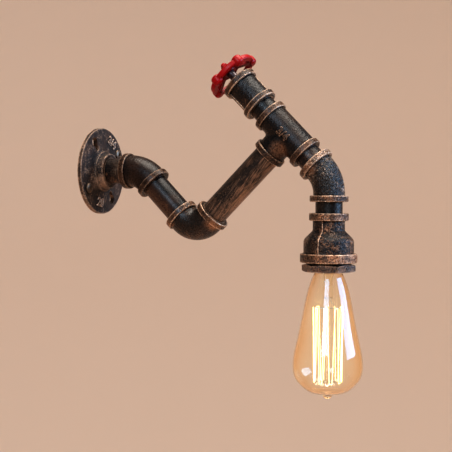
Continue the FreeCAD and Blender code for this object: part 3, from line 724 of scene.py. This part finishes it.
def endBead(centre, heading, fitting):
    reach = fittings[fitting]["reach"]
    return bead(centre, heading, reach - endBeadWidth, reach, fittings[fitting]["body"])


def elbowBeads(centre, headingIn, headingOut, fitting):
    return (endBead(centre, -direction(headingIn), fitting),
            endBead(centre, direction(headingOut), fitting))


beadsOf = {
    "wallElbow": elbowBeads(firstElbow, "wall", "lower", "wallElbow"),
    "bottomElbow": elbowBeads(secondElbow, "lower", "riser", "bottomElbow"),
    "frontElbow": elbowBeads(frontElbow, "run", "drop", "frontElbow"),
    "tee": (endBead(teeCentre, direction("run"), "tee"),
            endBead(teeCentre, direction("valve"), "tee"),
            endBead(teeCentre, -direction("riser"), "teeBranch")),
    "coupling": (bead(teeCentre, direction("valve"), start=0.0368, end=0.0426, body=0.0144),
                 bead(teeCentre, direction("valve"), start=0.0644, end=0.0702, body=0.0144)),
    "reducer": (bead(dropFace, direction("drop"), start=0.0102, end=0.0171, body=0.0146),
                bead(dropFace, direction("drop"), start=0.0468, end=0.0550, body=0.0234)),
}


# places that the brush caught, on the side that faces out from the arm's plane; their copper
# partly paints in the warm highlights there

def rub(centre, towards, down, near, radius, gain):
    # each step goes from a fitting's centre: along an axis, to a lower side, and to the near side
    return {"at": centre + towards + down + nearSide * near, "radius": radius, "gain": gain}


rubsOf = {
    "tee": (rub(teeCentre, towards=-direction("riser") * 0.0140, down=outerSide * 0.007,
                near=0.010, radius=0.0115, gain=0.72),),
    "bottomElbow": (rub(secondElbow, towards=direction("riser") * 0.0232,
                        down=outerSide * 0.011, near=0.012, radius=0.0125, gain=0.95),
                    rub(secondElbow, towards=-direction("lower") * 0.0232,
                        down=innerSide * 0.012, near=0.011, radius=0.0105, gain=0.75)),
    "frontElbow": (rub(frontElbow, towards=-direction("run") * 0.0185, down=innerSide * 0.004,
                       near=0.014, radius=0.0110, gain=0.85),),
    "flange": (rub(Vector(), towards=direction("wall") * 0.012, down=Vector((0, 0, -0.012)),
                   near=0.014, radius=0.0115, gain=1.0),),
}


# the finishes, each with what differs from the dictionary of its kind

ironLooks = {
    "wallElbowIron": {
        "dark": (0.011, 0.0065, 0.0055),
        "beads": beadsOf["wallElbow"], "beadGain": 0.20, "rimGain": 0.15,
        "edgeGain": 0.45, "wornGain": 0.25, "patches": 0.61, "patchGain": 0.45,
        "specular": 0.24, "bumps": 0.0004, "seed": 2.0,
    },
    "bottomElbowIron": {
        "dark": (0.009, 0.0065, 0.006),
        "beads": beadsOf["bottomElbow"], "beadGain": 0.40, "rubs": rubsOf["bottomElbow"],
        "patches": 0.58, "patchGain": 0.5, "bumps": 0.0005, "seed": 3.0,
    },
    "teeIron": {
        "beads": beadsOf["tee"], "beadGain": 0.34, "rubs": rubsOf["tee"], "edge": 0.0012,
        "patches": 0.61, "patchGain": 0.5, "specular": 0.30, "bumps": 0.0006, "seed": 8.0,
    },
    "couplingIron": {
        "beads": beadsOf["coupling"], "beadGain": 0.32, "patches": 0.60, "patchGain": 0.5,
        "specular": 0.34, "bumps": 0.0007, "seed": 9.0,
    },
    "frontElbowIron": {
        "beads": beadsOf["frontElbow"], "beadGain": 0.55, "rubs": rubsOf["frontElbow"],
        "patches": 0.57, "patchGain": 0.6, "crackle": 0.52, "specular": 0.46,
        "roughness": (0.12, 0.34), "bumps": 0.0020, "seed": 10.0,
    },
    "reducerIron": {
        "copper": (0.48, 0.25, 0.145), "ribbed": True,
        "beads": beadsOf["reducer"], "beadGain": 0.95, "patches": 0.52, "patchGain": 0.8,
        "crackle": 0.38, "specular": 0.34, "roughness": (0.18, 0.40), "bumps": 0.0013,
        "seed": 12.0,
    },
    "bushingIron": {
        "edgeGain": 0.35, "wornGain": 0.25, "patches": 0.48, "patchGain": 0.66,
        "crackle": 0.15, "bumps": 0.0009, "seed": 13.0,
    },
    "plugIron": {"seed": 15.0},
    "pipeIron": {
        "brown": (0.055, 0.026, 0.016), "under": 0.85, "warmSide": (-0.45, 0.55, -0.70),
        "heading": -45, "stretch": 9, "patches": 0.62, "patchGain": 0.45, "specular": 0.30,
        "roughness": (0.24, 0.42), "bumps": 0.00020, "seed": 4.0,
    },
    "nippleIron": {
        "under": 0.55, "patches": 0.58, "crackle": 0.10, "specular": 0.35,
        "roughness": (0.24, 0.42), "bumps": 0.00045, "seed": 5.0,
    },
    "riserIron": {
        "dark": (0.012, 0.009, 0.008), "brown": (0.060, 0.032, 0.020),
        "copper": (0.37, 0.215, 0.14), "under": 0.5, "heading": 45, "stretch": 11,
        "streaks": 0.80, "roughness": (0.26, 0.44), "bumps": 0.00025, "seed": 6.0,
    },
    "flangeIron": {
        "dark": (0.015, 0.010, 0.0085), "brown": (0.080, 0.040, 0.026),
        "copper": (0.44, 0.29, 0.205), "blotch": 0.007, "quietRing": (0.024, 0.0385),
        "edgeGain": 0.6, "wornGain": 0.30, "rubs": rubsOf["flange"], "patches": 0.53,
        "specular": 0.30, "roughness": (0.40, 0.64), "bumps": 0.0010, "seed": 14.0,
    },
    "castNumerals": {
        "dark": (0.075, 0.056, 0.047), "brown": (0.12, 0.075, 0.055),
        "copper": (0.34, 0.25, 0.20), "edge": 0.0007, "crevice": 0.001,
        "roughness": (0.42, 0.62), "bumps": 0.0003, "seed": 16.0,
    },
    "teeNumerals": {
        "edge": 0.0007, "edgeGain": 0.95, "wornGain": 0.35, "specular": 0.25,
        "roughness": (0.4, 0.6), "bumps": 0.0003, "seed": 17.0,
    },
}

enamelLooks = {"redEnamel": redEnamel}

metalLooks = {
    "zincSteel": {"colour": (0.62, 0.62, 0.60)},
    "stemSteel": {"colour": (0.14, 0.12, 0.125), "roughness": 0.38},
    "screwBrass": {"colour": (0.17, 0.125, 0.095), "roughness": 0.42, "wear": 0.4},
    "brass": {"colour": (0.78, 0.56, 0.26)},
    "capMetal": {"colour": (0.86, 0.66, 0.46), "roughness": 0.25},
}

coatLooks = {
    "porcelain": {"colour": (0.86, 0.85, 0.81), "roughness": 0.2},
    "blueSheath": {"colour": (0.03, 0.10, 0.42), "roughness": 0.5},
    "brownSheath": {"colour": (0.16, 0.06, 0.025), "roughness": 0.5},
    "blackInsulator": {"colour": (0.02, 0.02, 0.022), "roughness": 0.15},
}

glassLooks = {
    "amberGlass": {},
    "clearGlass": {"tint": (0.99, 0.97, 0.92), "rim": (0.95, 0.90, 0.80), "ior": 1.45,
                   "glowStrength": 0.0},
}

glowLooks = {"glow": filamentGlow}


def makeFinishes():
    kinds = ((agedIron, ironLooks), (enamel, enamelLooks), (plainMetal, metalLooks),
             (plainCoat, coatLooks), (glass, glassLooks), (glowing, glowLooks))
    return {name: make(name, look) for make, looks in kinds for name, look in looks.items()}


finishes = makeFinishes()

nodeFinish = {
    "wall_flange": "flangeIron",
    "flange_nipple": "nippleIron",
    "wall_elbow": "wallElbowIron",
    "lower_nipple": "pipeIron",
    "bottom_elbow": "bottomElbowIron",
    "riser_pipe": "riserIron",
    "tee": "teeIron",
    "elbow_nipple": "nippleIron",
    "front_elbow": "frontElbowIron",
    "handwheel_nipple": "nippleIron",
    "lamp_nipple": "nippleIron",
    "valve_coupling": "couplingIron",
    "stem_plug": "plugIron",
    "stem_washer": "stemSteel",
    "valve_stem": "stemSteel",
    "stem_circlip": "zincSteel",
    "handwheel": "redEnamel",
    "wheel_nut": "redEnamel",
    "bell_reducer": "reducerIron",
    "hex_bushing": "bushingIron",
    "holder_ring": "zincSteel",
    "lampholder_body": "porcelain",
    "thread_shell": "brass",
    "centre_contact": "brass",
    "terminal_blocks": "brass",
    "terminal_screws": "zincSteel",
    "neutral_wire": "blueSheath",
    "live_wire": "brownSheath",
    "bulb_glass": "amberGlass",
    "bulb_cap": "capMetal",
    "cap_insulator": "blackInsulator",
    "cap_contact": "zincSteel",
    "bulb_stem": "clearGlass",
    "filament": "glow",
    "filament_hooks": "zincSteel",
    "lead_wires": "zincSteel",
}


def dressNodes():
    for name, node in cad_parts.items():
        node.data.materials.clear()
        node.data.materials.append(finishes[nodeFinish[name]])


dressNodes()
print("solid pieces dressed")


# helpers for the pieces that are made here

def meshFrom(form, name):
    mesh = bpy.data.meshes.new(name)
    form.to_mesh(mesh)
    form.free()
    return mesh


def smoothByAngle(mesh, limit):
    mesh.polygons.foreach_set("use_smooth", [True] * len(mesh.polygons))
    mesh.set_sharp_from_angle(angle=math.radians(limit))


def keepPiece(name, mesh, body, finish):
    piece = bpy.data.objects.new(name, mesh)
    bpy.context.scene.collection.objects.link(piece)
    mesh.materials.clear()
    mesh.materials.append(finishes[finish])
    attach(piece, body)


def lathe(form, profile, sides):
    # turns a profile of radius and height into rings of points joined by faces
    rings = []
    for radius, height in profile:
        if radius == 0:
            rings.append([form.verts.new((0, 0, height))] * sides)
            continue
        angles = [2 * math.pi * i / sides for i in range(sides)]
        rings.append([form.verts.new((radius * math.cos(angle), radius * math.sin(angle), height))
                      for angle in angles])
    for low, high in zip(rings, rings[1:]):
        for i in range(sides):
            j = (i + 1) % sides
            corners = []
            for vert in (low[i], low[j], high[j], high[i]):
                if vert not in corners:
                    corners.append(vert)
            form.faces.new(corners)
    return rings


# two wall screws in the flange's round holes

wallScrew = {
    "angles": (31, 211),        # degrees round the flange
    "twists": (0.5, 1.5),       # radians each is turned about itself
    "circle": 0.0326,
    "seat": 0.00455,            # how far the flange's face is from the wall there
    "headRadius": 0.0050,
    "headHeight": 0.0024,
    "headCurve": ((1.0, 0.0), (1.0, 0.25), (0.93, 0.62), (0.70, 0.92), (0.38, 1.0), (0.0, 1.0)),
    "shankRadius": 0.0019,
    "sides": 28,
    "recessWidth": 0.0011,
    "recessLength": 1.15,       # in head radii
    "recessTaper": 0.35,
    "recessFloor": 0.30,        # in head heights
    "recessAbove": 0.0004,
    "smooth": 30,
}


def screwMesh():
    shank, seat = wallScrew["shankRadius"], wallScrew["seat"]
    profile = [(0, -seat), (shank, -seat), (shank, 0)]
    for across, up in wallScrew["headCurve"]:
        profile.append((wallScrew["headRadius"] * across, wallScrew["headHeight"] * up))
    form = bmesh.new()
    lathe(form, profile, wallScrew["sides"])
    return meshFrom(form, "screwHead")


def recessMesh():
    # a cross that narrows to its bottom
    length = wallScrew["headRadius"] * wallScrew["recessLength"]
    top = wallScrew["headHeight"] + wallScrew["recessAbove"]
    floor = wallScrew["headHeight"] * wallScrew["recessFloor"]
    form = bmesh.new()
    for turn in (0, math.pi / 2):
        for vert in bmesh.ops.create_cube(form, size=1)["verts"]:
            upper = vert.co.z > 0
            x = vert.co.x * length * (1.0 if upper else wallScrew["recessTaper"])
            y = vert.co.y * wallScrew["recessWidth"]
            vert.co = (x * math.cos(turn) - y * math.sin(turn),
                       x * math.sin(turn) + y * math.cos(turn), top if upper else floor)
    return meshFrom(form, "screwRecess")


def screwWithRecess():
    recess = bpy.data.objects.new("recessCutter", recessMesh())
    head = bpy.data.objects.new("headBlank", screwMesh())
    for thing in (recess, head):
        bpy.context.scene.collection.objects.link(thing)
    cut = head.modifiers.new("recess", "BOOLEAN")
    cut.operation = "DIFFERENCE"
    cut.solver = "EXACT"
    cut.use_self = True
    cut.object = recess
    bpy.context.view_layer.update()
    shaped = bpy.data.meshes.new_from_object(head.evaluated_get(
        bpy.context.evaluated_depsgraph_get()))
    for thing in (recess, head):
        bpy.data.objects.remove(thing)
    return shaped


def makeScrews():
    shaped = screwWithRecess()
    for index, angle in enumerate(wallScrew["angles"]):
        turn = math.radians(angle)
        place = Vector((wallScrew["circle"] * math.cos(turn), -wallScrew["seat"],
                        wallScrew["circle"] * math.sin(turn)))
        mesh = shaped.copy()
        mesh.transform(Matrix.Translation(place) @ Matrix.Rotation(math.pi / 2, 4, "X")
                       @ Matrix.Rotation(wallScrew["twists"][index], 4, "Z"))
        smoothByAngle(mesh, wallScrew["smooth"])
        keepPiece(f"wall_screw_{index + 1}", mesh, "arm", "screwBrass")


makeScrews()


# raised numerals, as cast on such fittings

numerals = {
    "raised": 0.0010,
    "sunk": 0.0004,
    "fontSize": 1.4,            # in letter heights
    "bevel": 0.00012,
    "fatter": 0.00015,
    "curveSteps": 3,
    "rows": 8,                  # cuts across the letters, so that they can bend
    "smooth": 35,
}

# upright is 1 with the tops outwards, and -1 with the tops to the flange's middle
flangeNumerals = {
    "height": 0.0084,
    "circle": 0.0318,
    "face": 0.0046,             # how far the flange's face is from the wall there
    "numerals_above": {"words": "3/4", "angle": 62, "upright": 1},
    "numerals_below": {"words": "20", "angle": 257, "upright": -1},
}

teeNumerals = {
    "words": "3/4",
    "height": 0.0072,
    "shift": 0.001,
}


def numeralMesh(words, height):
    # flat letters in x and y, standing up along z
    letters = bpy.data.curves.new("letters", "FONT")
    letters.body = words
    letters.size = height * numerals["fontSize"]
    letters.align_x = "CENTER"
    letters.align_y = "CENTER"
    letters.extrude = (numerals["raised"] + numerals["sunk"]) / 2
    letters.bevel_depth = numerals["bevel"]
    letters.offset = numerals["fatter"]
    letters.resolution_u = numerals["curveSteps"]
    holder = bpy.data.objects.new("letters", letters)
    mesh = bpy.data.meshes.new_from_object(holder)
    bpy.data.objects.remove(holder)
    form = bmesh.new()
    form.from_mesh(mesh)
    rows = numerals["rows"]
    for step in range(rows + 1):
        cut = height * (step / rows - 0.5)
        bmesh.ops.bisect_plane(form, geom=form.verts[:] + form.edges[:] + form.faces[:],
                               plane_co=(0, cut, 0), plane_no=(0, 1, 0))
    form.to_mesh(mesh)
    form.free()
    return mesh


def setNumerals(name, facts, height, lie, finish):
    # lie says where they stand, which ways are right, up and out, and the radius of a round
    # body with its axis along right
    mesh = numeralMesh(facts["words"], height)
    lift = (numerals["raised"] - numerals["sunk"]) / 2
    radius = lie["radius"]
    for vert in mesh.vertices:
        x, y, z = vert.co
        z += lift
        if radius:
            angle = y / radius
            y = (radius + z) * math.sin(angle)
            z = (radius + z) * math.cos(angle)
        vert.co = lie["at"] + lie["right"] * x + lie["up"] * y + lie["out"] * z
    smoothByAngle(mesh, numerals["smooth"])
    keepPiece(name, mesh, "arm", finish)


def makeNumerals():
    for name in ("numerals_above", "numerals_below"):
        facts = flangeNumerals[name]
        turn = math.radians(facts["angle"])
        ray = Vector((math.cos(turn), 0, math.sin(turn)))
        across = Vector((math.sin(turn), 0, -math.cos(turn)))
        lie = {
            "at": ray * flangeNumerals["circle"] + direction("wall") * flangeNumerals["face"],
            "right": across * facts["upright"],
            "up": ray * facts["upright"],
            "out": direction("wall"),
            "radius": None,
        }
        setNumerals(name, facts, flangeNumerals["height"], lie, "castNumerals")
    along = direction("run")
    lie = {
        "at": teeCentre + along * teeNumerals["shift"],
        "right": along,
        "up": nearSide.cross(along),
        "out": nearSide,
        "radius": fittings["tee"]["body"],
    }
    setNumerals("numerals_tee", teeNumerals, teeNumerals["height"], lie,
                "teeNumerals")


makeNumerals()
print("screws and numerals made")


# studio: a pale round room and soft lights

studio = {
    "paint": (0.675, 0.538, 0.432),
    "paintRoughness": 0.9,
    "radius": 3.0,
    "height": 2.8,
    "floor": -1.35,
    "cove": 1.1,                # radius of the curve from the floor to the wall
    "coveSteps": 12,
    "sides": 72,
    "smooth": 60,
    "world": (0.70, 0.63, 0.58),
    "worldStrength": 0.50,
}

softLights = {
    "key": {"at": (0.45, -1.7, 0.45), "aim": (0, -0.16, -0.02), "size": (1.2, 0.9), "power": 31,
            "colour": (0.36, 0.64, 1.0)},
    "front": {"at": (-1.7, -0.5, 0.75), "aim": (0, -0.16, 0), "size": (0.8, 0.9), "power": 19,
              "colour": (0.68, 0.84, 1.0)},
    "top": {"at": (0.1, -0.4, 1.7), "aim": (0, -0.16, 0), "size": (1.4, 1.4), "power": 46,
            "colour": (1.0, 0.93, 0.84)},
}


def makeRoom():
    cove = studio["cove"]
    flat = studio["radius"] - cove
    profile = []
    for i in range(studio["coveSteps"] + 1):
        angle = math.pi / 2 * i / studio["coveSteps"]
        profile.append((flat + cove * math.sin(angle),
                        studio["floor"] + cove * (1 - math.cos(angle))))
    profile.append((studio["radius"], studio["height"]))
    form = bmesh.new()
    rings = lathe(form, profile, studio["sides"])
    form.faces.new(rings[0])
    mesh = meshFrom(form, "room")
    smoothByAngle(mesh, studio["smooth"])
    material, _, shader = startMaterial("roomPaint")
    shader.inputs["Base Color"].default_value = (*studio["paint"], 1)
    shader.inputs["Roughness"].default_value = studio["paintRoughness"]
    mesh.materials.append(material)
    room = bpy.data.objects.new("room", mesh)
    bpy.context.scene.collection.objects.link(room)


def hangLight(name, facts):
    data = bpy.data.lights.new(name, "AREA")
    data.shape = "RECTANGLE"
    data.size, data.size_y = facts["size"]
    data.energy = facts["power"]
    data.color = facts["colour"]
    lamp = bpy.data.objects.new(name, data)
    lamp.location = facts["at"]
    back = Vector(facts["at"]) - Vector(facts["aim"])
    lamp.rotation_mode = "QUATERNION"
    lamp.rotation_quaternion = back.to_track_quat("Z", "Y")
    lamp.visible_camera = False
    bpy.context.scene.collection.objects.link(lamp)


def lightTheRoom():
    makeRoom()
    for name, facts in softLights.items():
        hangLight(name, facts)
    world = bpy.data.worlds.new("world")
    world.use_nodes = True
    background = world.node_tree.nodes["Background"]
    background.inputs["Color"].default_value = (*studio["world"], 1)
    background.inputs["Strength"].default_value = studio["worldStrength"]
    bpy.context.scene.world = world
    bpy.context.scene.view_settings.view_transform = "Standard"
    bpy.context.scene.view_settings.look = "High Contrast"


lightTheRoom()
print("studio lit")
